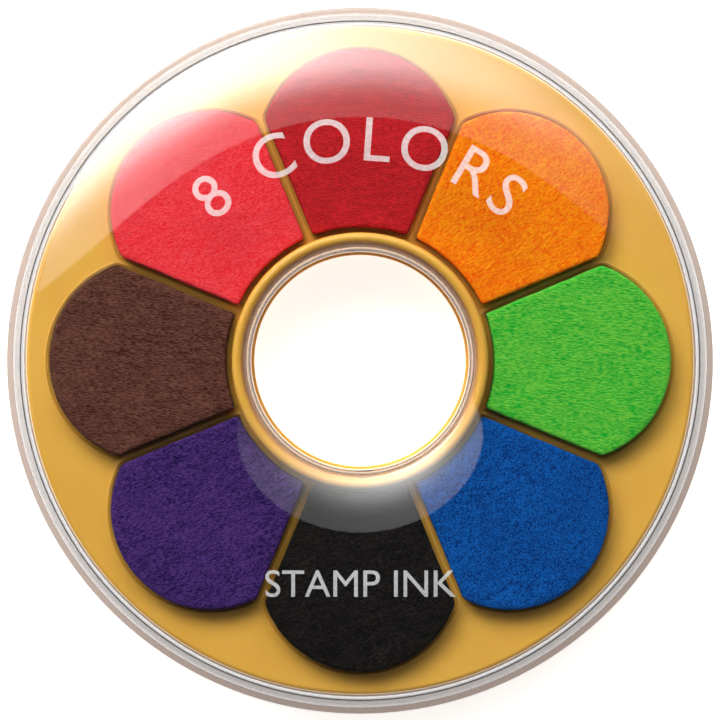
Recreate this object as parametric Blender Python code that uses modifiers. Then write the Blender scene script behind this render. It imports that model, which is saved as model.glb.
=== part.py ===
"""Ring-shaped ink pad with eight colours.

A moulded tray has eight petal-shaped wells round a hub. Each well holds an ink core with a fabric
face on top. A flat base ring closes the tray from below, and its inner edge carries a clear domed
lid, which lifts straight off. The axis of the ring is Z and the base stands on Z = 0. All sizes
are in metres.
"""

import math

import bmesh
import bpy

# Gaps
TOUCH_GAP = 0.0003  # between pieces that rest on or against each other
WELL_CLEARANCE = 0.0006  # between a pad's curved ends and its well
SIDE_CLEARANCE = 0.0003  # between a pad's straight sides and its well
CUP_CLEARANCE = 0.0007  # between the cups under the wells and the base's rims
SKIRT_CLEARANCE = 0.0004  # between the lid's skirt and the tray
COLLAR_CLEARANCE = 0.0006  # between the lid's collar and the hub
LID_HEADROOM = 0.00074  # between the lid and the top of the hub
LIP_CLEARANCE = 0.0005  # between the lid's lip and the surface the pad stands on
RIM_CLEARANCE = 0.0003  # between the base's locating rims and the tray

# Base ring
HOLE_RADIUS = 0.01645
BASE_THICKNESS = 0.0022
BASE_EDGE = 0.0005  # chamfer on the base's edges
SEAT_STEP = 0.00032  # how far the base's inner edge stands inside the lid's collar
RIM_WALL = 0.0012
RIM_HEIGHT = 0.0022
RECESS_DEPTH = 0.0006  # shallow hollow under the base, between two standing rings
STANDING_RING_WIDTH = 0.0065

# Tray
TRAY_RADIUS = 0.0514  # at the deck
TRAY_DRAFT = 0.0005  # how far the outer wall spreads on its way down
TRAY_WALL = 0.0013
DECK_HEIGHT = 0.0110
DECK_THICKNESS = 0.0016
DECK_EDGE_RADIUS = 0.0008
HUB_WALL = 0.0015
HUB_RISE = 0.0043  # how far the hub stands above the deck
HUB_LEDGE = 0.0003  # flat left between the hub and the wells

# Wells and pads
COLOURS = ("green", "orange", "crimson", "rose", "brown", "purple", "black", "blue")
WELL_WALL = 0.0012
RIB_WIDTH = 0.0007
DECK_MARGIN = 0.00315  # flat left between the wells and the tray's edge
PETAL_OVERRUN = 0.00366  # how far a well's outer arc would reach past the middle of its ribs
PETAL_CORNER_RADIUS = 0.0016
PETAL_INNER_CORNER_RADIUS = 0.0007
CUP_OVERLAP = 0.00015  # how far the cups either side of a rib reach past its middle
SEAT_DEPTH = 0.0007  # from the deck down to the step that a pad's face sits on
SEAT_WIDTH = 0.0008
PAD_RISE = 0.0029  # how far the pads stand above the deck
FACE_EDGE = 0.0003

# Lid
LID_WALL = 0.0016
CROWN_SHIFT = 0.0021  # from the middle of the dome's width in to its highest line
DOME_DROP = 0.0053  # from the crown down to where the dome reaches the skirt
SHOULDER_RADIUS = 0.0032
THROAT_RADIUS = 0.0022  # round between the dome and the collar in the hole
COLLAR_WALL = 0.0010
COLLAR_DRAFT = 0.0001
LIP_WIDTH = 0.0011
LIP_HEIGHT = 0.0018
LIP_EDGE = 0.0004
NUB_WIDTH = 0.0022
NUB_HEIGHT = 0.0010
NUB_RISE = 0.0003
NUB_DROP = 0.0045  # from the top of the hub down to the nubs
NUB_TURN = math.radians(2.3)

# Fineness of the curved faces
SIDES = 64
ARC_STEP = math.radians(12)
DOME_STEPS = 3  # on each side of the crown

# What follows from the sizes above: across the ring
COUNT = len(COLOURS)
HALF_SECTOR = math.pi / COUNT
LID_BORE = HOLE_RADIUS + SEAT_STEP
COLLAR_RADIUS = LID_BORE + COLLAR_WALL
HUB_BORE_RADIUS = COLLAR_RADIUS + COLLAR_CLEARANCE
HUB_RADIUS = HUB_BORE_RADIUS + HUB_WALL
PETAL_TIP_RADIUS = TRAY_RADIUS - DECK_MARGIN
SECTOR_SINE = math.sin(HALF_SECTOR)
PETAL_ARC_RADIUS = (PETAL_TIP_RADIUS * SECTOR_SINE + PETAL_OVERRUN) / (1 + SECTOR_SINE)
PETAL_CENTRE = PETAL_TIP_RADIUS - PETAL_ARC_RADIUS  # of a well's outer arc
TRAY_FOOT_RADIUS = TRAY_RADIUS + TRAY_DRAFT
SKIRT_BORE = TRAY_RADIUS + SKIRT_CLEARANCE
SKIRT_RADIUS = SKIRT_BORE + LID_WALL
LIP_RADIUS = SKIRT_RADIUS + TRAY_DRAFT + LIP_WIDTH
BASE_RADIUS = TRAY_FOOT_RADIUS

# What follows from them in height
FOOT = BASE_THICKNESS + TOUCH_GAP  # of the tray and the lid, on the base
RIM_TOP = BASE_THICKNESS + RIM_HEIGHT
WELL_FLOOR = RIM_TOP + CUP_CLEARANCE + WELL_WALL
SEAT_HEIGHT = DECK_HEIGHT - SEAT_DEPTH
PAD_TOP = DECK_HEIGHT + PAD_RISE
HUB_TOP = DECK_HEIGHT + HUB_RISE

# The dome is one arc, through the crown and the top of the skirt, and clears the hub
CROWN_RADIUS = (SKIRT_RADIUS + LID_BORE) / 2 - CROWN_SHIFT
DOME_CURVE_RADIUS = ((SKIRT_RADIUS - CROWN_RADIUS) ** 2 + DOME_DROP**2) / (2 * DOME_DROP)
HUB_FROM_CROWN = CROWN_RADIUS - HUB_BORE_RADIUS - HUB_WALL / 2
DROP_AT_HUB = DOME_CURVE_RADIUS - math.sqrt(DOME_CURVE_RADIUS**2 - HUB_FROM_CROWN**2)
LID_HEIGHT = HUB_TOP + LID_HEADROOM + LID_WALL + DROP_AT_HUB

INK_COLOURS = {
    "green": (0.077, 0.440, 0.036),
    "orange": (0.860, 0.205, 0.006),
    "crimson": (0.470, 0.016, 0.020),
    "rose": (0.800, 0.045, 0.058),
    "brown": (0.071, 0.024, 0.016),
    "purple": (0.048, 0.022, 0.135),
    "black": (0.010, 0.010, 0.011),
    "blue": (0.004, 0.072, 0.290),
}


def clear_scene():
    for old in list(bpy.data.objects):
        bpy.data.objects.remove(old, do_unlink=True)


def new_collection(name):
    collection = bpy.data.collections.new(name)
    bpy.context.scene.collection.children.link(collection)
    return collection


def new_material(name, colour, roughness, metallic=0.0, alpha=1.0):
    material = bpy.data.materials.new(name)
    material.use_nodes = True
    shader = material.node_tree.nodes["Principled BSDF"]
    shader.inputs["Base Color"].default_value = (*colour, 1.0)
    shader.inputs["Roughness"].default_value = roughness
    shader.inputs["Metallic"].default_value = metallic
    shader.inputs["Alpha"].default_value = alpha
    return material


def yellow_plastic():
    return new_material("yellow_plastic", (0.72, 0.39, 0.06), 0.35)


def clear_plastic():
    return new_material("clear_plastic", (0.95, 0.96, 0.97), 0.05, alpha=0.25)


def inked_fabric(colour):
    return new_material(f"{colour}_fabric", INK_COLOURS[colour], 0.95)


def inked_felt(colour):
    dark = tuple(0.7 * channel for channel in INK_COLOURS[colour])
    return new_material(f"{colour}_felt", dark, 1.0)


def arc(centre_x, centre_y, radius, start, end):
    """Points on a circular arc, both ends included, at even steps."""
    steps = max(1, math.ceil(abs(end - start) / ARC_STEP))
    angles = [start + (end - start) * i / steps for i in range(steps + 1)]
    return [(centre_x + radius * math.cos(a), centre_y + radius * math.sin(a)) for a in angles]


def add_mesh_object(name, points, edges, faces, collection):
    mesh = bpy.data.meshes.new(name)
    mesh.from_pydata(points, edges, faces)
    item = bpy.data.objects.new(name, mesh)
    collection.objects.link(item)
    return item


def finish(item, material):
    item.data.materials.clear()
    item.data.materials.append(material)
    item.data.shade_smooth()
    item.data.set_sharp_from_angle(angle=math.radians(35))
    return item


def turned(name, profile, collection):
    """A closed outline of (radius, height) points, turned round Z. It runs down its outer side."""
    points = [(radius, 0.0, height) for radius, height in profile]
    edges = [(i, (i + 1) % len(points)) for i in range(len(points))]
    item = add_mesh_object(name, points, edges, [], collection)
    screw = item.modifiers.new("turn", "SCREW")
    screw.axis = "Z"
    screw.angle = 2 * math.pi
    screw.steps = SIDES
    screw.render_steps = SIDES
    screw.use_merge_vertices = True
    screw.merge_threshold = 0.00001
    return item


def petal_outline(offset, side_offset):
    """The outline of a well, its ends and its sides spread by the offsets, with its axis along +X.

    Each side runs parallel to a rib, the outer end is one arc and the inner end follows the hub.
    """
    side_x, side_y = math.cos(HALF_SECTOR), math.sin(HALF_SECTOR)
    inset = RIB_WIDTH / 2 - side_offset
    arc_radius = PETAL_ARC_RADIUS + offset
    inner_radius = HUB_RADIUS + HUB_LEDGE - offset
    corner = PETAL_CORNER_RADIUS + offset
    inner_corner = max(PETAL_INNER_CORNER_RADIUS + offset, TOUCH_GAP)

    across = PETAL_CENTRE * side_y - inset - corner
    along = PETAL_CENTRE * side_x + math.sqrt((arc_radius - corner) ** 2 - across**2)
    corner_x = along * side_x + (inset + corner) * side_y
    corner_y = along * side_y - (inset + corner) * side_x
    corner_start = math.atan2(corner_y, corner_x - PETAL_CENTRE)
    square_to_side = HALF_SECTOR + math.pi / 2

    along = math.sqrt((inner_radius + inner_corner) ** 2 - (inset + inner_corner) ** 2)
    inner_x = along * side_x + (inset + inner_corner) * side_y
    inner_y = along * side_y - (inset + inner_corner) * side_x
    inner_angle = math.atan2(inner_y, inner_x)

    upper = arc(PETAL_CENTRE, 0.0, arc_radius, 0.0, corner_start)
    upper += arc(corner_x, corner_y, corner, corner_start, square_to_side)[1:]
    upper += arc(inner_x, inner_y, inner_corner, square_to_side, inner_angle + math.pi)
    upper += arc(0.0, 0.0, inner_radius, inner_angle, 0.0)[1:]
    lower = [(x, -y) for x, y in reversed(upper[1:-1])]
    return upper + lower


def prism(name, outline, bottom, top, angle, collection, edge=0.0):
    """A flat outline raised between two heights, its edges rounded, turned round Z by the angle."""
    curve = bpy.data.curves.new(name, "CURVE")
    curve.dimensions = "2D"
    curve.fill_mode = "BOTH"
    curve.extrude = (top - bottom) / 2 - edge
    curve.bevel_depth = edge
    curve.bevel_resolution = 0
    curve.offset = -edge
    spline = curve.splines.new("POLY")
    spline.points.add(len(outline) - 1)
    for point, (x, y) in zip(spline.points, outline):
        point.co = (x, y, 0.0, 1.0)
    spline.use_cyclic_u = True
    guide = bpy.data.objects.new(f"{name}_outline", curve)
    guide.location.z = (top + bottom) / 2
    guide.rotation_euler.z = angle
    collection.objects.link(guide)
    return curve_to_mesh(guide, name, collection)


def curve_to_mesh(guide, name, collection):
    bpy.context.view_layer.update()
    evaluated = guide.evaluated_get(bpy.context.evaluated_depsgraph_get())
    mesh = bpy.data.meshes.new_from_object(evaluated)
    mesh.name = name
    weld_points(mesh)
    item = bpy.data.objects.new(name, mesh)
    item.matrix_world = guide.matrix_world
    collection.objects.link(item)
    bpy.data.objects.remove(guide, do_unlink=True)
    return item


def weld_points(mesh):
    work = bmesh.new()
    work.from_mesh(mesh)
    bmesh.ops.remove_doubles(work, verts=work.verts, dist=0.00001)
    bmesh.ops.recalc_face_normals(work, faces=work.faces)
    work.to_mesh(mesh)
    work.free()


def combine(item, tool, operation):
    """Joins a hidden tool shape to an item, or cuts it out."""
    tool.hide_render = True
    tool.display_type = "WIRE"
    boolean = item.modifiers.new(tool.name, "BOOLEAN")
    boolean.operation = operation
    boolean.solver = "EXACT"
    boolean.object = tool


def base_profile():
    """The base ring: a flat plate with two rims on top and a shallow recess underneath."""
    outer_rim = TRAY_FOOT_RADIUS - TRAY_WALL - RIM_CLEARANCE
    inner_rim = HUB_RADIUS + RIM_CLEARANCE
    outer_recess = BASE_RADIUS - STANDING_RING_WIDTH
    inner_recess = HOLE_RADIUS + STANDING_RING_WIDTH
    return [
        (HOLE_RADIUS, BASE_EDGE),
        (HOLE_RADIUS, BASE_THICKNESS - BASE_EDGE),
        (HOLE_RADIUS + BASE_EDGE, BASE_THICKNESS),
        (inner_rim, BASE_THICKNESS),
        (inner_rim, RIM_TOP),
        (inner_rim + RIM_WALL, RIM_TOP),
        (inner_rim + RIM_WALL, BASE_THICKNESS),
        (outer_rim - RIM_WALL, BASE_THICKNESS),
        (outer_rim - RIM_WALL, RIM_TOP),
        (outer_rim, RIM_TOP),
        (outer_rim, BASE_THICKNESS),
        (BASE_RADIUS - BASE_EDGE, BASE_THICKNESS),
        (BASE_RADIUS, BASE_THICKNESS - BASE_EDGE),
        (BASE_RADIUS, BASE_EDGE),
        (BASE_RADIUS - BASE_EDGE, 0.0),
        (outer_recess, 0.0),
        (outer_recess - RECESS_DEPTH, RECESS_DEPTH),
        (inner_recess + RECESS_DEPTH, RECESS_DEPTH),
        (inner_recess, 0.0),
        (HOLE_RADIUS + BASE_EDGE, 0.0),
    ]


def tray_profile():
    """The tray without its wells: hub, deck and outer wall, open underneath."""
    bead = HUB_WALL / 2
    deck_under = DECK_HEIGHT - DECK_THICKNESS
    hub_head = arc(HUB_BORE_RADIUS + bead, HUB_TOP - bead, bead, math.pi, 0.0)
    edge_x = TRAY_RADIUS - DECK_EDGE_RADIUS
    deck_edge = arc(edge_x, DECK_HEIGHT - DECK_EDGE_RADIUS, DECK_EDGE_RADIUS, math.pi / 2, 0.0)
    return [
        (HUB_BORE_RADIUS, FOOT),
        *hub_head,
        (HUB_RADIUS, DECK_HEIGHT),
        *deck_edge,
        (TRAY_FOOT_RADIUS, FOOT),
        (TRAY_FOOT_RADIUS - TRAY_WALL, FOOT),
        (TRAY_RADIUS - TRAY_WALL, deck_under),
        (HUB_RADIUS, deck_under),
        (HUB_RADIUS, FOOT),
    ]


def dome_arc(inner, outer, drop):
    """Points along the dome from one radius to another, one of them on the crown.

    The drop is 0 on the outer face and the wall's thickness on the inner one.
    """
    curve_radius = DOME_CURVE_RADIUS - drop
    centre = LID_HEIGHT - DOME_CURVE_RADIUS
    start = math.acos((inner - CROWN_RADIUS) / curve_radius)
    end = math.acos((outer - CROWN_RADIUS) / curve_radius)
    crown = math.pi / 2
    angles = [start + (crown - start) * i / DOME_STEPS for i in range(DOME_STEPS)]
    angles += [crown + (end - crown) * i / DOME_STEPS for i in range(DOME_STEPS + 1)]
    return [
        (CROWN_RADIUS + curve_radius * math.cos(a), centre + curve_radius * math.sin(a))
        for a in angles
    ]


def bend_centre(wall_radius, bend_radius, drop, side):
    """Centre of the round that joins the dome to an upright wall. Side is +1 for the skirt."""
    centre_x = wall_radius - side * bend_radius
    reach = DOME_CURVE_RADIUS - drop - bend_radius
    centre_z = LID_HEIGHT - DOME_CURVE_RADIUS
    centre_z += math.sqrt(reach**2 - (centre_x - CROWN_RADIUS) ** 2)
    lean = math.atan2(centre_z - LID_HEIGHT + DOME_CURVE_RADIUS, centre_x - CROWN_RADIUS)
    return centre_x, centre_z, lean


def lid_profile():
    """The lid: a collar down the hole, a dome over the pads, a skirt, and a lip at its foot."""
    outer_x, outer_z, outer_lean = bend_centre(SKIRT_RADIUS, SHOULDER_RADIUS, 0.0, 1)
    throat_x, throat_z, throat_lean = bend_centre(LID_BORE, THROAT_RADIUS, 0.0, -1)
    inside = SHOULDER_RADIUS - LID_WALL
    inner_x, inner_z, inner_lean = bend_centre(SKIRT_BORE, inside, LID_WALL, 1)
    inside_throat = THROAT_RADIUS - COLLAR_WALL
    neck_x, neck_z, neck_lean = bend_centre(COLLAR_RADIUS, inside_throat, LID_WALL, -1)

    throat = arc(throat_x, throat_z, THROAT_RADIUS, math.pi, throat_lean)
    dome = dome_arc(throat[-1][0], outer_x + SHOULDER_RADIUS * math.cos(outer_lean), 0.0)
    shoulder = arc(outer_x, outer_z, SHOULDER_RADIUS, outer_lean, 0.0)
    bend = arc(inner_x, inner_z, inside, 0.0, inner_lean)
    ceiling = dome_arc(bend[-1][0], neck_x + inside_throat * math.cos(neck_lean), LID_WALL)
    neck = arc(neck_x, neck_z, inside_throat, neck_lean, math.pi)

    lip_foot = LIP_CLEARANCE
    lip_top = lip_foot + LIP_HEIGHT
    lip = [
        (SKIRT_RADIUS + TRAY_DRAFT, lip_top),
        (LIP_RADIUS - LIP_EDGE, lip_top),
        (LIP_RADIUS, lip_top - LIP_EDGE),
        (LIP_RADIUS, lip_foot + LIP_EDGE / 2),
        (LIP_RADIUS - LIP_EDGE / 2, lip_foot),
        (SKIRT_BORE + TRAY_DRAFT, lip_foot),
    ]
    collar_foot = [(COLLAR_RADIUS - COLLAR_DRAFT, FOOT), (LID_BORE - COLLAR_DRAFT, FOOT)]
    return (
        throat + dome[1:-1] + shoulder + lip + bend + ceiling[1:-1] + neck + collar_foot
    )


def add_base(collection):
    base = turned("base_ring", base_profile(), collection)
    return finish(base, yellow_plastic())


def add_tray(collection, cutters):
    """The tray: cups for the wells are joined to the turned shell, then hollowed from above.

    Neighbouring cups overlap, so that one solid wall stands under each rib.
    """
    tray = turned("tray", tray_profile(), collection)
    cup_bottom, cup_top = WELL_FLOOR - WELL_WALL, SEAT_HEIGHT - TOUCH_GAP
    cup_side = RIB_WIDTH / 2 + CUP_OVERLAP
    shapes = (
        ("cup", WELL_WALL - SEAT_WIDTH, cup_side, cup_bottom, cup_top, "UNION"),
        ("well", -SEAT_WIDTH, -SEAT_WIDTH, WELL_FLOOR, HUB_TOP, "DIFFERENCE"),
        ("seat", 0.0, 0.0, SEAT_HEIGHT, HUB_TOP, "DIFFERENCE"),
    )
    for shape, spread, side_spread, bottom, top, operation in shapes:
        outline = petal_outline(spread, side_spread)
        for k, colour in enumerate(COLOURS):
            angle = 2 * HALF_SECTOR * k
            tool = prism(f"{colour}_{shape}", outline, bottom, top, angle, cutters)
            combine(tray, tool, operation)
    return finish(tray, yellow_plastic())


def add_pads(collection):
    """A felt core and a fabric face in each well, green on +X and the rest anticlockwise."""
    core_spread = -SEAT_WIDTH - TOUCH_GAP
    core_outline = petal_outline(core_spread, core_spread)
    face_outline = petal_outline(-WELL_CLEARANCE, -SIDE_CLEARANCE)
    face_bottom = SEAT_HEIGHT + TOUCH_GAP
    core_bottom = WELL_FLOOR + TOUCH_GAP
    core_top = face_bottom - TOUCH_GAP
    for k, colour in enumerate(COLOURS):
        angle = 2 * HALF_SECTOR * k
        name = f"{colour}_ink_core"
        core = prism(name, core_outline, core_bottom, core_top, angle, collection)
        finish(core, inked_felt(colour))
        name = f"{colour}_pad_face"
        face = prism(name, face_outline, face_bottom, PAD_TOP, angle, collection, FACE_EDGE)
        finish(face, inked_fabric(colour))


def add_nub(number, cutters):
    """One of two small nubs on the outside of the lid's collar, which grip the hub."""
    angle = math.pi * (number + 0.5) + NUB_TURN
    outside = COLLAR_RADIUS + NUB_RISE
    inside = outside - COLLAR_WALL
    distance = (inside + outside) / 2
    place = (distance * math.cos(angle), distance * math.sin(angle), HUB_TOP - NUB_DROP)
    bpy.ops.mesh.primitive_cube_add(size=1.0, location=place, rotation=(0.0, 0.0, angle))
    nub = bpy.context.object
    nub.name = f"nub_{number + 1}"
    nub.scale = (outside - inside, NUB_WIDTH, NUB_HEIGHT)
    for collection in list(nub.users_collection):
        collection.objects.unlink(nub)
    cutters.objects.link(nub)
    return nub


def add_lid(collection, cutters):
    """The clear lid lifts along Z, so its origin is on the axis at its foot."""
    lid = turned("lid", lid_profile(), collection)
    for number in range(2):
        combine(lid, add_nub(number, cutters), "UNION")
    return finish(lid, clear_plastic())


clear_scene()
parts = new_collection("ink_pad")
tools = new_collection("cutters")
add_base(parts)
add_tray(parts, tools)
add_pads(parts)
add_lid(parts, tools)
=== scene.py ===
import math

import bpy
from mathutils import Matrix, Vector, noise


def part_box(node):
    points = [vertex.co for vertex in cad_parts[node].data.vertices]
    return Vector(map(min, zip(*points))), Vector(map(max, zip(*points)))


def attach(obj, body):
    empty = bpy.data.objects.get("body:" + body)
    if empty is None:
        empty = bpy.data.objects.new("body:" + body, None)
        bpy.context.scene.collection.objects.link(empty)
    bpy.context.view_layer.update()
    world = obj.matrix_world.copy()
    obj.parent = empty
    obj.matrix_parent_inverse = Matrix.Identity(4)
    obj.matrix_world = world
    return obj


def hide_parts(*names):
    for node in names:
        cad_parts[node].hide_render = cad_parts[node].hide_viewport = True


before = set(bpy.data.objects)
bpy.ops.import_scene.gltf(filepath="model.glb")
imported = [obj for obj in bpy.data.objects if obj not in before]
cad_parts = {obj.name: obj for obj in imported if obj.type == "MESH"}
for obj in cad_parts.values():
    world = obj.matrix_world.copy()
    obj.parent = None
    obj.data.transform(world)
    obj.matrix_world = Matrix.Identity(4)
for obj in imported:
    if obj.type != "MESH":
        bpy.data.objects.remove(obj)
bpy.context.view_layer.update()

# ------------------------------------------------------------------------------------------
# Base ring
# A flat yellow ring, injection moulded, that closes the tray from below. Two low rims on top
# centre it in the tray, and it stands on two broad rings either side of a shallow recess.
# ------------------------------------------------------------------------------------------
SIDES = 192  # round every turned piece
MILLIMETRE = 0.001


def begin(name):
    """A new piece that starts as one point on the axis, in edit mode, with nothing else picked."""
    if bpy.context.mode != "OBJECT":
        bpy.ops.object.mode_set(mode="OBJECT")
    bpy.ops.object.select_all(action="DESELECT")
    bpy.ops.mesh.primitive_plane_add(size=MILLIMETRE)
    piece = bpy.context.object
    piece.name = piece.data.name = name
    bpy.ops.object.mode_set(mode="EDIT")
    bpy.ops.mesh.select_mode(type="VERT")
    bpy.ops.mesh.select_all(action="SELECT")
    bpy.ops.mesh.merge(type="CENTER")
    return piece


def draw(points):
    """Draws a line through the points, from the single point that a new piece starts as."""
    bpy.ops.transform.translate(value=points[0])
    for here, there in zip(points, points[1:]):
        step = [b - a for a, b in zip(here, there)]
        bpy.ops.mesh.extrude_vertices_move(TRANSFORM_OT_translate={"value": step})


def pick(piece, kind, test):
    """Selects the points, edges or faces that pass a test, and nothing else, in edit mode."""
    bpy.ops.mesh.select_mode(type=kind)
    bpy.ops.mesh.select_all(action="DESELECT")
    bpy.ops.object.mode_set(mode="OBJECT")
    items = {"VERT": piece.data.vertices, "EDGE": piece.data.edges, "FACE": piece.data.polygons}
    for item in items[kind]:
        item.select = test(item)
    bpy.ops.object.mode_set(mode="EDIT")


def close_line(piece):
    """Joins the two ends of a drawn line."""
    bpy.ops.object.mode_set(mode="OBJECT")
    last = len(piece.data.vertices) - 1
    bpy.ops.object.mode_set(mode="EDIT")
    pick(piece, "VERT", lambda point: point.index in (0, last))
    bpy.ops.mesh.edge_face_add()


def turn_round():
    """Spins all that is drawn once round the axis and welds the seam."""
    bpy.ops.mesh.select_all(action="SELECT")
    bpy.ops.mesh.spin(steps=SIDES, angle=2 * math.pi, center=(0, 0, 0), axis=(0, 0, 1))
    bpy.ops.mesh.select_all(action="SELECT")
    bpy.ops.mesh.remove_doubles(threshold=0.002 * MILLIMETRE)


def outwards():
    bpy.ops.mesh.select_all(action="SELECT")
    bpy.ops.mesh.normals_make_consistent(inside=False)


def smooth(angle):
    """Leaves edit mode and shades smooth, but for edges sharper than the angle."""
    bpy.ops.object.mode_set(mode="OBJECT")
    bpy.ops.object.shade_smooth_by_angle(angle=math.radians(angle))


def turned(name, outline, angle=40):
    """A closed ring turned from an outline of (radius, height) points in millimetres."""
    piece = begin(name)
    draw([(radius * MILLIMETRE, 0.0, height * MILLIMETRE) for radius, height in outline])
    close_line(piece)
    turn_round()
    outwards()
    smooth(angle)
    return piece


def arc(centre, radius, start, end, steps):
    """Points along an arc, both ends included. Angles are in degrees."""
    turns = [math.radians(start + (end - start) * i / steps) for i in range(steps + 1)]
    return [(centre[0] + radius * math.cos(t), centre[1] + radius * math.sin(t)) for t in turns]


class Value:
    """A value in a finish. Sums and products of values add the Math nodes for them."""

    def __init__(self, finish, socket):
        self.finish, self.socket = finish, socket

    def maths(self, operation, first, second):
        return self.finish.add("ShaderNodeMath", {"operation": operation}, {0: first, 1: second})

    def __add__(self, other):
        return self.maths("ADD", self, other)

    def __radd__(self, other):
        return self.maths("ADD", other, self)

    def __mul__(self, other):
        return self.maths("MULTIPLY", self, other)

    def __rmul__(self, other):
        return self.maths("MULTIPLY", other, self)


class Finish:
    """A material on its way: one Principled shader and the nodes that feed it."""

    def __init__(self, name, **constants):
        self.material = bpy.data.materials.new(name)
        self.material.use_nodes = True
        self.tree = self.material.node_tree
        self.shader = self.tree.nodes["Principled BSDF"]
        self.output = self.tree.nodes["Material Output"]
        for socket, value in constants.items():
            self.feed(self.shader.inputs[socket.replace("_", " ")], value)

    def feed(self, socket, value):
        if isinstance(value, Value):
            self.tree.links.new(value.socket, socket)
        elif socket.type == "RGBA" and len(value) == 3:
            socket.default_value = (*value, 1.0)
        else:
            socket.default_value = value

    def add(self, kind, settings=None, sockets=None, output=0):
        """Adds a node: its settings first, then the value or link of each of its sockets."""
        node = self.tree.nodes.new(kind)
        for name, setting in (settings or {}).items():
            if name == "stops":
                self.set_stops(node.color_ramp.elements, setting)
            else:
                setattr(node, name, setting)
        for name, value in (sockets or {}).items():
            self.feed(node.inputs[name], value)
        return Value(self, node.outputs[output])

    def set_stops(self, elements, stops):
        while len(elements) < len(stops):
            elements.new(1.0)
        for element, (position, shade) in zip(elements, stops):
            element.position = position
            element.color = (*shade, 1.0) if isinstance(shade, tuple) else (shade,) * 3 + (1.0,)

    def grain(self, size, stretch=(1, 1, 1), turn=0.0, detail=2.0, roughness=0.5, shift=0.0):
        """Soft noise whose blobs are about this size in millimetres, drawn out and turned."""
        place = self.add("ShaderNodeTexCoord", output="Object")
        laid = self.add("ShaderNodeMapping", {"vector_type": "TEXTURE"}, {
            "Vector": place, "Location": (shift, shift, shift),
            "Rotation": (0, 0, math.radians(turn)), "Scale": stretch})
        return self.add("ShaderNodeTexNoise", sockets={
            "Vector": laid, "Scale": 0.5 / (size * MILLIMETRE),
            "Detail": detail, "Roughness": roughness})

    def spread(self, value, low, high, to_low=0.0, to_high=1.0):
        """A value stretched from one range to another and kept inside it."""
        return self.add("ShaderNodeMapRange", {"clamp": True}, {
            "Value": value, "From Min": low, "From Max": high,
            "To Min": to_low, "To Max": to_high})

    def blend(self, amount, first, second):
        """One colour turning into another."""
        return self.add("ShaderNodeMix", {"data_type": "RGBA"},
                        {0: amount, 6: first, 7: second}, output=2)

    def bump(self, height, depth, strength=1.0, under=None):
        """Relief of this depth in millimetres, on top of any other relief."""
        sockets = {"Height": height, "Distance": depth * MILLIMETRE, "Strength": strength}
        if under:
            sockets["Normal"] = under
        return self.add("ShaderNodeBump", sockets=sockets)

    def set(self, **sockets):
        for name, value in sockets.items():
            self.feed(self.shader.inputs[name.replace("_", " ")], value)
        return self.material


def yellow_plastic(name, shift):
    """Egg-yolk moulded plastic: a fine satin skin, faint flow clouds and a little depth."""
    finish = Finish(name, IOR=1.5, Subsurface_Weight=0.12, Subsurface_Scale=0.0012,
                    Subsurface_Radius=(1.0, 0.35, 0.08), Specular_IOR_Level=0.5)
    cloud = finish.grain(9.0, detail=3, shift=shift)
    speck = finish.grain(0.35, detail=2, roughness=0.7, shift=shift)
    clouded = finish.blend(finish.spread(cloud, 0.35, 0.65), (0.74, 0.385, 0.050),
                           (0.80, 0.430, 0.062))
    flecked = finish.blend(finish.spread(speck, 0.58, 0.80, 0.0, 0.18), clouded,
                           (0.60, 0.285, 0.035))
    skin = finish.grain(0.16, detail=2, shift=shift)
    waves = finish.grain(6.0, detail=1, shift=shift)
    relief = finish.bump(waves, 0.05, 0.35, finish.bump(skin, 0.006, 0.5))
    return finish.set(Base_Color=flecked, Normal=relief,
                      Roughness=finish.spread(cloud, 0.3, 0.7, 0.30, 0.40))


PLATE_TOP, RIM_TOP, RECESS = 2.2, 4.4, 0.6
RING_INSIDE, RING_OUTSIDE, RING_EDGE = 16.45, 51.9, 0.5
INNER_RIM, OUTER_RIM, RIM_WALL = 20.17, 49.1, 1.2
INNER_STAND, OUTER_STAND = 22.95, 45.4  # where the standing rings meet the recess
FILLET = 0.2  # at the foot of each rim and on the standing rings


def rim(inside):
    """A low rim on the plate, rounded on top, with a small fillet on each side of its foot."""
    outside, edge = inside + RIM_WALL, 0.3
    return [
        (inside - FILLET, PLATE_TOP), (inside, PLATE_TOP + FILLET),
        *arc((inside + edge, RIM_TOP - edge), edge, 180, 90, 4),
        *arc((outside - edge, RIM_TOP - edge), edge, 90, 0, 4),
        (outside, PLATE_TOP + FILLET), (outside + FILLET, PLATE_TOP),
    ]


inner_edge, outer_edge = RING_INSIDE + RING_EDGE, RING_OUTSIDE - RING_EDGE
outline = [
    *arc((inner_edge, PLATE_TOP - RING_EDGE), RING_EDGE, 180, 90, 5),
    *rim(INNER_RIM), *rim(OUTER_RIM),
    *arc((outer_edge, PLATE_TOP - RING_EDGE), RING_EDGE, 90, 0, 5),
    *arc((outer_edge, RING_EDGE), RING_EDGE, 0, -90, 5),
    *arc((OUTER_STAND, FILLET), FILLET, 270, 225, 2), (OUTER_STAND - RECESS, RECESS),
    (INNER_STAND + RECESS, RECESS), *arc((INNER_STAND, FILLET), FILLET, 315, 270, 2),
    *arc((inner_edge, RING_EDGE), RING_EDGE, 270, 180, 5),
]
base = turned("base_ring_moulding", outline)
base.data.materials.append(yellow_plastic("base_plastic", 0.31))
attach(base, "tray")
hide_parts("base_ring")

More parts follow.
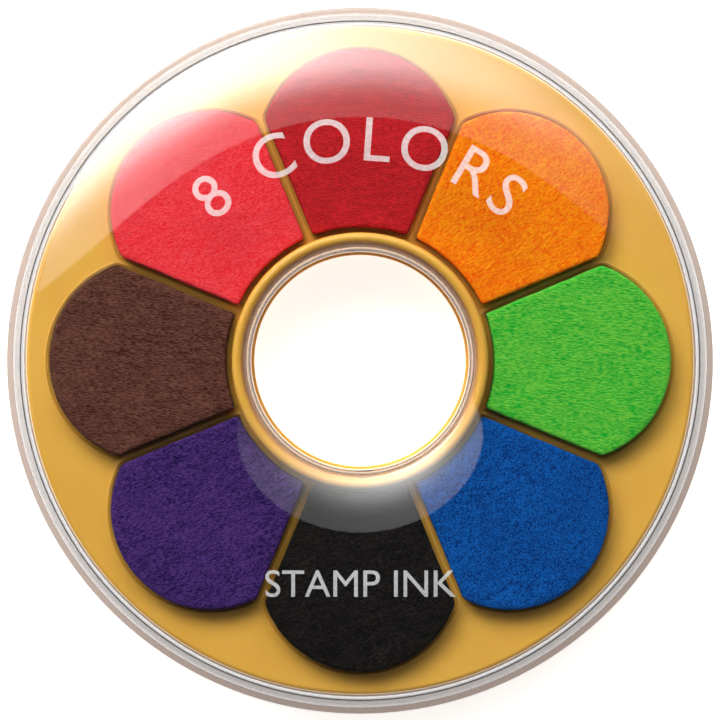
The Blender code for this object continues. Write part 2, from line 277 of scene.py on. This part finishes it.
# ------------------------------------------------------------------------------------------
# Tray
# One thin yellow moulding: a beaded hub, a flat deck with eight petal-shaped wells in it, and
# an outer wall. Each well has a step for its pad. The mould leaves every edge softly rounded.
# ------------------------------------------------------------------------------------------
DECK, SEAT = 11.0, 10.3
HUB_TOP = 15.3
HUB_BORE, HUB_OUT = 18.37, 19.87
TRAY_RIM, TRAY_FOOT = 51.4, 51.9
DECK_ROUND = 0.8  # between the deck and the outer wall
FOOT = 2.5  # height of the tray's foot, just above the plate
TRAY_WALL = 0.3
HALF_SECTOR = 22.5
PETAL_CENTRE, PETAL_ARC = 32.25, 16.0
PETAL_CORNER, PETAL_NOOK = 1.6, 0.7
HUB_LEDGE = 0.3
RIB = 0.7
EDGE_ROUND = 0.14  # on the mouths of the wells
SEAT_WIDTH = 0.5
WELL_FLOOR = 6.3
COLOURS = ("green", "orange", "crimson", "rose", "brown", "purple", "black", "blue")


def petal_outline(spread, side_spread):
    """The outline of a well, its arcs and its two straight sides let out by these amounts."""
    side = math.radians(HALF_SECTOR)
    inset = RIB / 2 - side_spread
    corner, inner_corner = PETAL_CORNER + spread, max(PETAL_NOOK + spread, 0.3)
    outer, inner = PETAL_ARC + spread, HUB_OUT + HUB_LEDGE - spread
    across = PETAL_CENTRE * math.sin(side) - inset - corner
    along = PETAL_CENTRE * math.cos(side) + math.sqrt((outer - corner) ** 2 - across**2)
    bend = (along * math.cos(side) + (inset + corner) * math.sin(side),
            along * math.sin(side) - (inset + corner) * math.cos(side))
    bend_start = math.degrees(math.atan2(bend[1], bend[0] - PETAL_CENTRE))
    reach = math.sqrt((inner + inner_corner) ** 2 - (inset + inner_corner) ** 2)
    nook = (reach * math.cos(side) + (inset + inner_corner) * math.sin(side),
            reach * math.sin(side) - (inset + inner_corner) * math.cos(side))
    nook_angle = math.degrees(math.atan2(nook[1], nook[0]))
    square = HALF_SECTOR + 90
    upper = arc((PETAL_CENTRE, 0), outer, 0, bend_start, 36)
    upper += arc(bend, corner, bend_start, square, 5)[1:]
    upper += arc(nook, inner_corner, square, nook_angle + 180, 5)
    upper += arc((0, 0), inner, nook_angle, 0, 16)[1:]
    return upper + [(x, -y) for x, y in reversed(upper[1:-1])]


def petal_face(name, spread, side_spread, height):
    """A new piece that is one flat petal at a height, facing up, with its axis along +X."""
    piece = begin(name)
    draw([(x * MILLIMETRE, y * MILLIMETRE, height * MILLIMETRE)
          for x, y in petal_outline(spread, side_spread)])
    bpy.ops.mesh.select_all(action="SELECT")
    bpy.ops.mesh.edge_face_add()
    bpy.ops.mesh.normals_make_consistent(inside=False)
    return piece


def round_inwards(radius, steps, start, end):
    """Insets the picked face step by step, so that its edge follows a round."""
    points = arc((0, 0), radius, start, end, steps)
    for here, there in zip(points, points[1:]):
        bpy.ops.mesh.inset(thickness=abs(there[0] - here[0]) * MILLIMETRE,
                           depth=-abs(there[1] - here[1]) * MILLIMETRE)


def drop(depth):
    bpy.ops.mesh.extrude_region_move(
        TRANSFORM_OT_translate={"value": (0, 0, -depth * MILLIMETRE)})


def strip(name, points):
    """An open wall turned from a line of (radius, height) points."""
    piece = begin(name)
    draw([(radius * MILLIMETRE, 0.0, height * MILLIMETRE) for radius, height in points])
    turn_round()
    bpy.ops.object.mode_set(mode="OBJECT")
    return piece


def modify(piece, kind, **settings):
    """Adds a modifier with its settings and applies it."""
    bpy.context.view_layer.objects.active = piece
    modifier = piece.modifiers.new(kind.lower(), kind)
    for name, setting in settings.items():
        setattr(modifier, name, setting)
    bpy.ops.object.modifier_apply(modifier=modifier.name)


tray = petal_face("tray_moulding", EDGE_ROUND, EDGE_ROUND, DECK)
round_inwards(EDGE_ROUND, 4, 90, 0)
drop(DECK - EDGE_ROUND - SEAT)
bpy.ops.mesh.inset(thickness=SEAT_WIDTH * MILLIMETRE)
drop(SEAT - WELL_FLOOR)
bpy.ops.mesh.select_all(action="SELECT")
for copy in range(1, len(COLOURS)):
    bpy.ops.mesh.duplicate()
    bpy.ops.transform.rotate(value=math.radians(2 * HALF_SECTOR), orient_axis="Z",
                             center_override=(0, 0, 0))
bpy.ops.mesh.select_all(action="DESELECT")
for radius in (HUB_OUT, TRAY_RIM - DECK_ROUND):
    bpy.ops.mesh.primitive_circle_add(vertices=SIDES, radius=radius * MILLIMETRE,
                                      location=(0, 0, DECK * MILLIMETRE))
bpy.ops.object.mode_set(mode="OBJECT")
level = DECK * MILLIMETRE
heights = [vertex.co.z for vertex in tray.data.vertices]
bpy.ops.object.mode_set(mode="EDIT")
pick(tray, "EDGE", lambda edge: all(abs(heights[end] - level) < 1e-6 for end in edge.vertices))
bpy.ops.mesh.fill(use_beauty=True)
bpy.ops.object.mode_set(mode="OBJECT")
bead = (HUB_OUT - HUB_BORE) / 2
hub = strip("hub", [(HUB_OUT, DECK), (HUB_OUT, HUB_TOP - bead),
                    *arc((HUB_OUT - bead, HUB_TOP - bead), bead, 0, 180, 12)[1:],
                    (HUB_BORE, FOOT)])
wall = strip("wall", [*arc((TRAY_RIM - DECK_ROUND, DECK - DECK_ROUND), DECK_ROUND, 90, 0, 8),
                      (TRAY_FOOT, FOOT)])
for piece in (tray, hub, wall):
    piece.select_set(True)
bpy.context.view_layer.objects.active = tray
bpy.ops.object.join()
bpy.ops.object.mode_set(mode="EDIT")
bpy.ops.mesh.select_all(action="SELECT")
bpy.ops.mesh.remove_doubles(threshold=0.002 * MILLIMETRE)
outwards()
bpy.ops.object.mode_set(mode="OBJECT")
deck_up = max(tray.data.polygons, key=lambda face: face.center.z + face.normal.z).normal.z > 0
modify(tray, "SOLIDIFY", thickness=TRAY_WALL * MILLIMETRE, offset=-1 if deck_up else 1)
smooth(35)
modify(tray, "WEIGHTED_NORMAL", keep_sharp=True)
tray.data.materials.append(yellow_plastic("tray_plastic", 0.0))
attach(tray, "tray")
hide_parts("tray")

# ------------------------------------------------------------------------------------------
# Ink cores
# A block of soaked felt fills each well under its fabric face. It is hidden while the face is
# on, as in the real pad, and feeds the face with ink.
# ------------------------------------------------------------------------------------------
INKS = {
    "green": (0.082, 0.467, 0.039), "orange": (0.930, 0.213, 0.002),
    "crimson": (0.486, 0.0132, 0.0178), "rose": (0.858, 0.0445, 0.058),
    "brown": (0.098, 0.036, 0.024), "purple": (0.046, 0.018, 0.120),
    "black": (0.0062, 0.0052, 0.0046), "blue": (0.0015, 0.067, 0.294),
}


def petal_block(name, spread, side_spread, bottom, top, voxel, softening):
    """A petal of felt between two heights, as a fine even mesh with softened edges."""
    block = petal_face(name, spread, side_spread, top)
    drop(top - bottom)
    outwards()
    bpy.ops.object.mode_set(mode="OBJECT")
    modify(block, "REMESH", mode="VOXEL", voxel_size=voxel * MILLIMETRE, use_smooth_shade=True)
    modify(block, "SMOOTH", factor=0.5, iterations=softening)
    return block


def copy_turned(piece, name, angle):
    """A copy of a piece with its own mesh, turned about the hub."""
    bpy.ops.object.select_all(action="DESELECT")
    piece.select_set(True)
    bpy.context.view_layer.objects.active = piece
    bpy.ops.object.duplicate()
    copy = bpy.context.object
    copy.name = copy.data.name = name
    copy.rotation_euler.z = math.radians(angle)
    bpy.ops.object.transform_apply(location=False, rotation=True, scale=False)
    return copy


def ruffle(piece, size, depth, seed):
    """Pushes the surface in and out along its normals, as loose fibres do."""
    offset = Vector((seed * 7.3, seed * 3.1, seed * 5.7))
    faces_out = [vertex.normal.copy() for vertex in piece.data.vertices]
    moved = []
    for vertex, out in zip(piece.data.vertices, faces_out):
        wave = noise.noise(vertex.co / (size * MILLIMETRE) + offset)
        moved.extend(vertex.co + out * wave * depth * MILLIMETRE)
    piece.data.vertices.foreach_set("co", moved)
    piece.data.update()


def soaked_felt(colour):
    """Matted wool felt, dark with ink."""
    finish = Finish(f"{colour}_soaked_felt", Roughness=0.9)
    matting = finish.grain(0.3, detail=3, roughness=0.7)
    wet = tuple(0.45 * channel for channel in INKS[colour])
    dry = tuple(0.8 * channel for channel in INKS[colour])
    return finish.set(Base_Color=finish.blend(finish.spread(matting, 0.35, 0.7), wet, dry),
                      Normal=finish.bump(matting, 0.15, 0.8))


core = petal_block("core", -0.9, -0.9, 6.6, 10.3, 0.5, 2)
for k, colour in enumerate(COLOURS):
    felt = copy_turned(core, f"{colour}_felt_core", 2 * HALF_SECTOR * k)
    ruffle(felt, 1.1, 0.12, k + 1)
    felt.data.materials.append(soaked_felt(colour))
    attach(felt, "tray")
    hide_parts(f"{colour}_ink_core")
bpy.data.objects.remove(core)

# ------------------------------------------------------------------------------------------
# Pad faces
# Each pad is topped with a thick inked fabric, cut to the petal and laid on the core. Its nap
# lies one way, a different way on each pad, and its cut edge is soft and a little uneven.
# ------------------------------------------------------------------------------------------
NAP_TURN = {"green": -4, "orange": 38, "crimson": 3, "rose": 24,
            "brown": -6, "purple": 24, "black": 18, "blue": 30}
NAP_DRAW = {"green": 4.5, "orange": 3.5, "crimson": 3.5, "rose": 3.0,
            "brown": 4.0, "purple": 3.5, "black": 3.5, "blue": 1.8}


# How far each ink is darkened between the tufts (partly painted shade) and paled on their tips
# (partly painted sheen), per channel.
NAP_TONE_AND_PAINTED_LIGHT = {"green": (1.0, 0.2, 0.3), "orange": (0.04, 0.55, 0.95),
             "crimson": (0.3, 0.3, 0.3), "rose": (0.04, 0.65, 0.6),
             "brown": (0.55, 0.7, 0.75), "purple": (0.85, 0.85, 0.6),
             "black": (1.8, 1.8, 1.8), "blue": (1.9, 0.75, 0.6)}


def napped_fabric(colour):
    """Brushed fabric soaked in ink: fine drawn-out tufts of uneven ink, with painted shade between
    them and a painted sheen on their tips.
    """
    ink = INKS[colour]
    finish = Finish(f"{colour}_brushed_fabric", Roughness=0.9, Specular_IOR_Level=0.08)
    turn, drawn = NAP_TURN[colour], NAP_DRAW[colour]
    tufts = finish.grain(0.09, (drawn, 1, 1), turn, 2, 0.6)
    clumps = finish.grain(0.4, (drawn, 1, 1), turn, 2, 0.5)
    stains = finish.grain(4.0, detail=2)
    # Painted shade in the hollows between tufts and a painted sheen on their tips, over the ink's
    # own uneven tone.
    hollow_tone_and_painted_shade = tuple(max(0.0, shade * (1 - depth)) for shade, depth in zip(ink, NAP_TONE_AND_PAINTED_LIGHT[colour]))
    tip_tone_and_painted_sheen = tuple(min(1.0, shade * (1 + depth)) for shade, depth in zip(ink, NAP_TONE_AND_PAINTED_LIGHT[colour]))
    lie = 0.7 * tufts + 0.2 * clumps + 0.1 * stains
    shades = [(0.40, hollow_tone_and_painted_shade), (0.5, ink), (0.60, tip_tone_and_painted_sheen)]
    colour_of_lie = finish.add("ShaderNodeValToRGB", {"stops": shades}, {"Fac": lie})
    return finish.set(Base_Color=colour_of_lie, Normal=finish.bump(lie, 0.35, 0.7))


face = petal_block("face", -0.6, -0.35, 10.6, 13.7, 0.3, 4)
for k, colour in enumerate(COLOURS):
    pad = copy_turned(face, f"{colour}_fabric_face", 2 * HALF_SECTOR * k)
    ruffle(pad, 4.5, 0.10, k + 21)
    ruffle(pad, 0.9, 0.05, k + 41)
    pad.data.materials.append(napped_fabric(colour))
    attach(pad, "tray")
    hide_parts(f"{colour}_pad_face")
bpy.data.objects.remove(face)

# ------------------------------------------------------------------------------------------
# Lid
# A clear moulded cover, one low dome all round the ring. A collar goes down the hub, where two
# small nubs grip it and its foot rests on the base, and a skirt with a lip goes down outside.
# ------------------------------------------------------------------------------------------
LID_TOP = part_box("lid")[1].z / MILLIMETRE
CROWN_RING, DOME_CURVE, LID_WALL = 32.985, 41.97, 1.6
SKIRT, SKIRT_BORE, COLLAR_BORE, COLLAR_OUT = 53.4, 51.8, 16.77, 17.77
COLLAR_FOOT, LIP_FOOT, LIP_TOP, LIP_OUT = 2.5, 0.5, 2.3, 55.0
SKIRT_DRAFT, COLLAR_DRAFT = 0.5, 0.1  # how far each leans by its foot
SHOULDER_ROUND, THROAT_ROUND = 3.2, 2.2
LIP_ROUND, FOOT_ROUND = 0.25, 0.2
NUB_REACH, NUB_LEVEL = 17.57, 10.8  # the middle of each nub
NUB_ANGLES = (92.3, 272.3)


def dome_centre():
    return CROWN_RING, LID_TOP - DOME_CURVE


def joining_round(wall, radius, curve, side):
    """Where the round between the dome and an upright wall has its centre, and where it ends."""
    centre = dome_centre()
    x = wall - side * radius
    z = centre[1] + math.sqrt((curve - radius) ** 2 - (x - CROWN_RING) ** 2)
    return (x, z), math.degrees(math.atan2(z - centre[1], x - CROWN_RING))


inside_curve, inside_round = DOME_CURVE - LID_WALL, SHOULDER_ROUND - LID_WALL
neck_round = THROAT_ROUND - (COLLAR_OUT - COLLAR_BORE)
shoulder, shoulder_lean = joining_round(SKIRT, SHOULDER_ROUND, DOME_CURVE, 1)
throat, throat_lean = joining_round(COLLAR_BORE, THROAT_ROUND, DOME_CURVE, -1)
inside, inside_lean = joining_round(SKIRT_BORE, inside_round, inside_curve, 1)
neck, neck_lean = joining_round(COLLAR_OUT, neck_round, inside_curve, -1)
collar_out, collar_bore = COLLAR_OUT - COLLAR_DRAFT, COLLAR_BORE - COLLAR_DRAFT
outline = [
    *arc(throat, THROAT_ROUND, 180, throat_lean, 10),
    *arc(dome_centre(), DOME_CURVE, throat_lean, shoulder_lean, 44)[1:-1],
    *arc(shoulder, SHOULDER_ROUND, shoulder_lean, 0, 14),
    *arc((SKIRT + SKIRT_DRAFT + LIP_ROUND, LIP_TOP + LIP_ROUND), LIP_ROUND, 180, 270, 3),
    *arc((LIP_OUT - 0.4, LIP_TOP - 0.4), 0.4, 90, 0, 5),
    *arc((LIP_OUT - LIP_ROUND, LIP_FOOT + LIP_ROUND), LIP_ROUND, 0, -90, 3),
    (SKIRT_BORE + SKIRT_DRAFT, LIP_FOOT),
    *arc(inside, inside_round, 0, inside_lean, 10),
    *arc(dome_centre(), inside_curve, inside_lean, neck_lean, 44)[1:-1],
    *arc(neck, neck_round, neck_lean, 180, 8),
    *arc((collar_out - FOOT_ROUND, COLLAR_FOOT + FOOT_ROUND), FOOT_ROUND, 0, -90, 3),
    *arc((collar_bore + FOOT_ROUND, COLLAR_FOOT + FOOT_ROUND), FOOT_ROUND, 270, 180, 3),
]
lid = turned("lid_moulding", outline, 50)
for nub_angle in NUB_ANGLES:
    turn = math.radians(nub_angle)
    place = (NUB_REACH * math.cos(turn), NUB_REACH * math.sin(turn), NUB_LEVEL)
    bpy.ops.object.select_all(action="DESELECT")
    bpy.ops.mesh.primitive_cube_add(size=MILLIMETRE, rotation=(0, 0, turn),
                                    location=[part * MILLIMETRE for part in place])
    nub = bpy.context.object
    nub.scale = (1.0, 2.2, 1.0)
    bpy.ops.object.transform_apply(location=True, rotation=True, scale=True)
    modify(nub, "BEVEL", width=0.15 * MILLIMETRE, segments=3)
    modify(lid, "BOOLEAN", operation="UNION", solver="EXACT", object=nub)
    bpy.data.objects.remove(nub)
bpy.ops.object.select_all(action="DESELECT")
lid.select_set(True)
smooth(50)


# Painted shade in the lid's colour by radius: grey on the skirt, step and lip, brown-grey on the
# collar, while the dome stays nearly clear.
COLLAR_PAINTED_SHADE, DOME_TINT, SKIRT_PAINTED_SHADE = (0.52, 0.44, 0.38), (0.985, 0.985, 0.98), (0.36, 0.36, 0.37)
STEP_PAINTED_SHADE, LIP_PAINTED_SHADE = (0.29, 0.23, 0.22), (0.38, 0.32, 0.29)
RING_TINTS_AND_PAINTED_SHADES = [(17.8, COLLAR_PAINTED_SHADE), (18.1, DOME_TINT), (51.6, DOME_TINT), (51.9, SKIRT_PAINTED_SHADE),
              (53.4, SKIRT_PAINTED_SHADE), (53.6, STEP_PAINTED_SHADE), (54.0, LIP_PAINTED_SHADE)]


def clear_plastic():
    """Clear polystyrene with a polished skin. The rim and the collar carry painted shade: the
    colour is darkened by radius, grey on the skirt, step and lip and brown-grey on the collar,
    standing in for the shade seen through them. Lamps shine through without a hard shadow."""
    finish = Finish("lid_clear_plastic", IOR=1.5, Transmission_Weight=1.0)
    place = finish.add("ShaderNodeTexCoord", output="Object")
    level = finish.add("ShaderNodeVectorMath", {"operation": "MULTIPLY"},
                       {0: place, 1: (1.0, 1.0, 0.0)})
    radius = finish.add("ShaderNodeVectorMath", {"operation": "LENGTH"}, {0: level}, "Value")
    start, end = 16.5, 55.2
    stops = [((ring - start) / (end - start), tint_and_painted_shade) for ring, tint_and_painted_shade in RING_TINTS_AND_PAINTED_SHADES]
    # Painted shade: this ramp darkens the clear plastic's colour by radius.
    tint_and_painted_shade = finish.add("ShaderNodeValToRGB", {"stops": stops}, {
        "Fac": finish.spread(radius, start * MILLIMETRE, end * MILLIMETRE)})
    finish.set(Base_Color=tint_and_painted_shade)
    wear = finish.grain(7.0, detail=4, roughness=0.6)
    finish.set(Roughness=finish.spread(wear, 0.3, 0.8, 0.0, 0.02),
               Normal=finish.bump(finish.grain(14.0, detail=1), 0.02, 0.3))
    rays = finish.add("ShaderNodeLightPath", output="Is Shadow Ray")
    bounces = finish.add("ShaderNodeLightPath", output="Is Diffuse Ray")
    open_air = finish.add("ShaderNodeBsdfTransparent", sockets={"Color": (0.93, 0.93, 0.925)})
    body = Value(finish, finish.shader.outputs["BSDF"])
    softened = finish.add("ShaderNodeMixShader", sockets={0: bounces, 1: body, 2: open_air})
    whole = finish.add("ShaderNodeMixShader", sockets={0: rays, 1: softened, 2: open_air})
    finish.feed(finish.output.inputs["Surface"], whole)
    return finish.material


lid.data.materials.append(clear_plastic())
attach(lid, "lid")
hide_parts("lid")

# ------------------------------------------------------------------------------------------
# Print
# Thin white ink printed on the dome: a generic line of words that follows the ring at the top
# and a smaller straight one at the bottom. Each letter is cut fine and laid on the curve.
# ------------------------------------------------------------------------------------------
INK_LIFT, INK_THICKNESS = 0.015, 0.02
LETTER_CUT = 1.2


def letters(name, words, size):
    """Flat letters in the XY plane, centred on their own middle, as a mesh."""
    bpy.ops.object.select_all(action="DESELECT")
    bpy.ops.object.text_add()
    text = bpy.context.object
    text.name = name
    text.data.body = words
    text.data.size = size * MILLIMETRE
    text.data.align_x = "CENTER"
    bpy.ops.object.convert(target="MESH")
    return text


def on_dome(piece):
    """Cuts flat letters fine, lifts them to the dome and gives them the ink's thickness."""
    bpy.context.view_layer.objects.active = piece
    bpy.ops.object.mode_set(mode="EDIT")
    for axis in (0, 1):
        low = min(vertex.co[axis] for vertex in piece.data.vertices) / MILLIMETRE
        high = max(vertex.co[axis] for vertex in piece.data.vertices) / MILLIMETRE
        for cut in range(1, int((high - low) / LETTER_CUT) + 1):
            at, square = Vector(), Vector()
            at[axis], square[axis] = (low + cut * LETTER_CUT) * MILLIMETRE, 1
            bpy.ops.mesh.select_all(action="SELECT")
            bpy.ops.mesh.bisect(plane_co=at, plane_no=square)
    bpy.ops.object.mode_set(mode="OBJECT")
    for vertex in piece.data.vertices:
        out = vertex.co.xy.length / MILLIMETRE - CROWN_RING
        vertex.co.z = (LID_TOP - DOME_CURVE + math.sqrt(DOME_CURVE**2 - out**2)
                       + INK_LIFT) * MILLIMETRE
    modify(piece, "SOLIDIFY", thickness=INK_THICKNESS * MILLIMETRE, offset=1)


def white_print():
    """Thin screen-printed white that the colours below show through."""
    finish = Finish("white_print", Roughness=0.45)
    cover = finish.grain(0.3, detail=2)
    return finish.set(Alpha=finish.spread(cover, 0.3, 0.7, 0.27, 0.34),
                      Base_Color=finish.blend(cover, (0.88, 0.88, 0.88), (0.95, 0.95, 0.95)))


PRINT_RADIUS, PRINT_START = 30.6, 136
LETTER_SIZE, LETTER_GAP, WORD_GAP = 9.7, 1.3, 3.6
LINE_SIZE, LINE_LEVEL = 5.9, -36.1
pieces = []
turn = math.radians(PRINT_START)
for letter in "8 COLORS":
    if letter == " ":
        turn -= WORD_GAP / PRINT_RADIUS
        continue
    piece = letters("print_letter", letter, LETTER_SIZE)
    half = piece.dimensions.x / MILLIMETRE / 2
    turn -= half / PRINT_RADIUS
    piece.rotation_euler.z = turn - math.pi / 2
    piece.location = (PRINT_RADIUS * MILLIMETRE * math.cos(turn),
                      PRINT_RADIUS * MILLIMETRE * math.sin(turn), 0)
    bpy.ops.object.transform_apply(location=True, rotation=True, scale=True)
    turn -= (half + LETTER_GAP) / PRINT_RADIUS
    pieces.append(piece)
lid_print = letters("lid_print", "STAMP INK", LINE_SIZE)
lid_print.location.y = LINE_LEVEL * MILLIMETRE
bpy.ops.object.transform_apply(location=True, rotation=True, scale=True)
for piece in pieces:
    piece.select_set(True)
bpy.context.view_layer.objects.active = lid_print
bpy.ops.object.join()
lid_print.data.name = "lid_print"
on_dome(lid_print)
lid_print.data.materials.clear()
lid_print.data.materials.append(white_print())
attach(lid_print, "lid")

# ------------------------------------------------------------------------------------------
# Studio
# A pale light table, one large panel overhead towards the back that is brighter further out,
# and a pale room with a dark ceiling. The camera looks straight down.
# ------------------------------------------------------------------------------------------
bpy.ops.object.select_all(action="DESELECT")
bpy.ops.mesh.primitive_plane_add(size=24.0)
floor = bpy.context.object
floor.name = "studio_floor"
table = Finish("pale_table", Base_Color=(0.9, 0.9, 0.9), Roughness=0.6,
               Emission_Color=(1.0, 1.0, 1.0), Emission_Strength=0.8)
floor.data.materials.append(table.material)

PANEL_HEIGHT, PANEL_NEAR, PANEL_FAR, PANEL_HALF = 1.2, 0.335, 2.2, 1.6
PANEL_STRENGTH = 14.0
BRIGHTER_OUTWARDS = [(0.0, 0.105), (0.073, 0.117), (0.112, 0.155), (0.135, 0.19), (0.173, 0.28),
                     (0.213, 0.43), (0.24, 0.50), (0.351, 0.89), (0.508, 1.0)]
DARKER_TO_THE_RIGHT = [(0.0, 1.0), (0.328, 1.0), (0.5, 0.53), (0.672, 0.26), (0.698, 0.215),
                       (0.844, 0.05)]
bpy.ops.mesh.primitive_plane_add(size=1.0)
panel = bpy.context.object
panel.name = "light_panel"
panel.scale = (2 * PANEL_HALF, PANEL_FAR - PANEL_NEAR, 1.0)
panel.location = (0.0, (PANEL_NEAR + PANEL_FAR) / 2, PANEL_HEIGHT)
bpy.ops.object.transform_apply(location=True, rotation=True, scale=True)
panel.visible_camera = False
glow = Finish("light_panel_glow", Base_Color=(0, 0, 0), Roughness=1.0, Specular_IOR_Level=0.0)
place = glow.add("ShaderNodeTexCoord", output="Object")
across = glow.add("ShaderNodeSeparateXYZ", sockets={"Vector": place}, output="X")
out = glow.add("ShaderNodeSeparateXYZ", sockets={"Vector": place}, output="Y")
rise = glow.add("ShaderNodeValToRGB", {"stops": BRIGHTER_OUTWARDS},
                {"Fac": glow.spread(out, PANEL_NEAR, PANEL_FAR)})
lean = glow.add("ShaderNodeValToRGB", {"stops": DARKER_TO_THE_RIGHT},
                {"Fac": glow.spread(across, -PANEL_HALF, PANEL_HALF)})
lamp = glow.add("ShaderNodeEmission", sockets={"Strength": PANEL_STRENGTH * rise * lean})
glow.feed(glow.output.inputs["Surface"], lamp)
panel.data.materials.append(glow.material)

room = bpy.data.worlds.new("studio_room")
room.use_nodes = True
bpy.context.scene.world = room
tree = room.node_tree
towards = tree.nodes.new("ShaderNodeTexCoord")
parts = tree.nodes.new("ShaderNodeSeparateXYZ")
shades = tree.nodes.new("ShaderNodeValToRGB")
tree.links.new(towards.outputs["Generated"], parts.inputs["Vector"])
tree.links.new(parts.outputs["Z"], shades.inputs["Fac"])
tree.links.new(shades.outputs["Color"], tree.nodes["Background"].inputs["Color"])
elements = shades.color_ramp.elements
elements[0].position, elements[0].color = 0.0, (0.9, 0.9, 0.9, 1)
elements[1].position, elements[1].color = 0.55, (0.02, 0.02, 0.02, 1)

bpy.ops.object.camera_add(location=(0.0, 0.0001, 1.0), rotation=(0, 0, 0))
camera = bpy.context.object
camera.data.sensor_width = 36.0
camera.data.lens = 320.5
camera.data.clip_start, camera.data.clip_end = 0.01, 100.0
bpy.context.scene.camera = camera
bpy.context.scene.view_settings.view_transform = "Standard"
